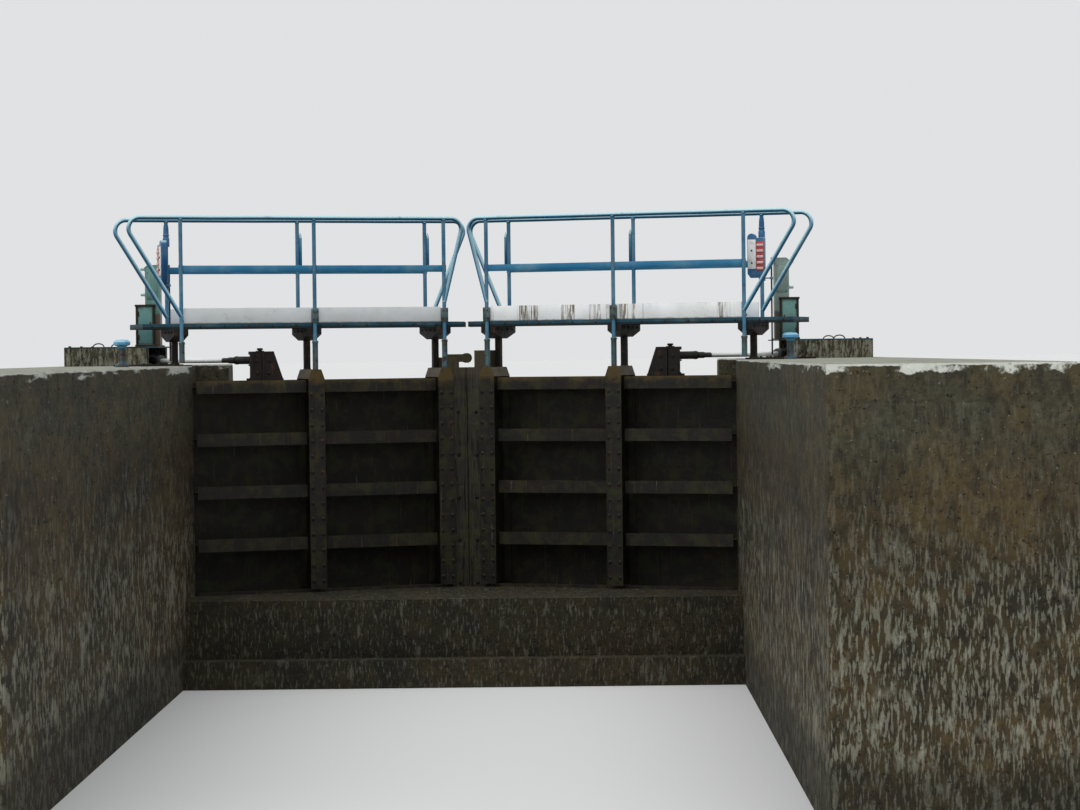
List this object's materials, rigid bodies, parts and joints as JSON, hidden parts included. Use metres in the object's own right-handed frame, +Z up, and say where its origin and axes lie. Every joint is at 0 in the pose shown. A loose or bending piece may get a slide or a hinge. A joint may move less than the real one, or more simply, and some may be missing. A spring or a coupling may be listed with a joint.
{
  "type": "canal lock mitre gate",
  "caption": "Double-leaf mitre lock gate with railed walkways, closing rams, paddle gears, sill and the chamber walls that hold it.",
  "frame": {"origin": "on the lock's centre line, in line with the two heel axes, at the foot of the walls", "axes": "+X across the chamber to the right seen from downstream, +Y upstream, +Z up"},
  "size_m": [8.4, 13.4974, 4.431],
  "materials": {
    "chamber_concrete": "weathered concrete, wet and streaked",
    "coping_stone": "pale worn concrete",
    "sill_concrete": "dark wet concrete",
    "bare_steel": "dull steel",
    "rusty_steel": "rusted dark paint",
    "green_paint": "faded green paint",
    "leaf_steel": "dark coated steel, rust and moss",
    "wet_timber": "dark wet timber",
    "blue_paint": "worn blue gloss paint",
    "white_paint": "white paint with rust streaks",
    "gear_paint": "blue, white and red paint",
    "bright_rod": "polished",
    "ram_paint": "dark grey paint"
  },
  "bodies": {
    "lock_head": {"left_wall": "chamber_concrete", "right_wall": "chamber_concrete", "left_coping": "coping_stone", "right_coping": "coping_stone", "sill": "sill_concrete", "pintles": "bare_steel", "left_anchor": "rusty_steel", "right_anchor": "rusty_steel", "left_ram_plinth": "coping_stone", "right_ram_plinth": "coping_stone", "left_ram_cover": "rusty_steel", "right_ram_cover": "rusty_steel", "left_drive_cabinet": "green_paint", "right_drive_cabinet": "green_paint", "bollards": "blue_paint"},
    "left_leaf": {"left_heel_post": "leaf_steel", "left_mitre_post": "wet_timber", "left_girders": "leaf_steel", "left_frames": "leaf_steel", "left_skin": "leaf_steel", "left_paddle": "leaf_steel", "left_deck_supports": "rusty_steel", "left_deck": "blue_paint", "left_toe_boards": "white_paint", "left_near_railing": "blue_paint", "left_far_railing": "blue_paint", "left_paddle_gear": "gear_paint", "left_ram_lug": "rusty_steel"},
    "left_rod": {"left_ram_rod": "bright_rod"},
    "left_cylinder": {"left_ram_cylinder": "ram_paint"},
    "right_leaf": {"right_heel_post": "leaf_steel", "right_mitre_post": "wet_timber", "right_girders": "leaf_steel", "right_frames": "leaf_steel", "right_skin": "leaf_steel", "right_paddle": "leaf_steel", "right_deck_supports": "rusty_steel", "right_deck": "blue_paint", "right_toe_boards": "white_paint", "right_near_railing": "blue_paint", "right_far_railing": "blue_paint", "right_paddle_gear": "gear_paint", "right_ram_lug": "rusty_steel"},
    "right_rod": {"right_ram_rod": "bright_rod"},
    "right_cylinder": {"right_ram_cylinder": "ram_paint"}
  },
  "joints": [
    {"name": "left_leaf_swing", "type": "hinge", "parent": "lock_head", "child": "left_leaf", "pos_m": [-2.776, 0, 2.95], "axis": [0, 0, 1], "range_deg": [0, 70]},
    {"name": "left_rod_pivot", "type": "hinge", "parent": "left_leaf", "child": "left_rod", "pos_m": [-1.98666, 0.2873, 3.045], "axis": [0, 0, 1], "range_deg": [-82.6, 0]},
    {"name": "left_rod_slide", "type": "slide", "parent": "left_rod", "child": "left_cylinder", "axis": [-0.6556, 0.7551, 0], "range_m": [-0.912, 0]},
    {"name": "right_leaf_swing", "type": "hinge", "parent": "lock_head", "child": "right_leaf", "pos_m": [2.776, 0, 2.95], "axis": [0, 0, -1], "range_deg": [0, 70]},
    {"name": "right_rod_pivot", "type": "hinge", "parent": "right_leaf", "child": "right_rod", "pos_m": [1.98666, 0.2873, 3.045], "axis": [0, 0, -1], "range_deg": [-82.6, 0]},
    {"name": "right_rod_slide", "type": "slide", "parent": "right_rod", "child": "right_cylinder", "axis": [0.6556, 0.7551, 0], "range_m": [-0.912, 0]}
  ],
  "couplings": [
    {"joint": "left_rod_pivot", "follows": "left_leaf_swing", "ratio": -1.1763},
    {"joint": "left_rod_slide", "follows": "left_leaf_swing", "m_per_rad": -0.7445},
    {"joint": "right_rod_pivot", "follows": "right_leaf_swing", "ratio": -1.1763},
    {"joint": "right_rod_slide", "follows": "right_leaf_swing", "m_per_rad": -0.7445}
  ]
}
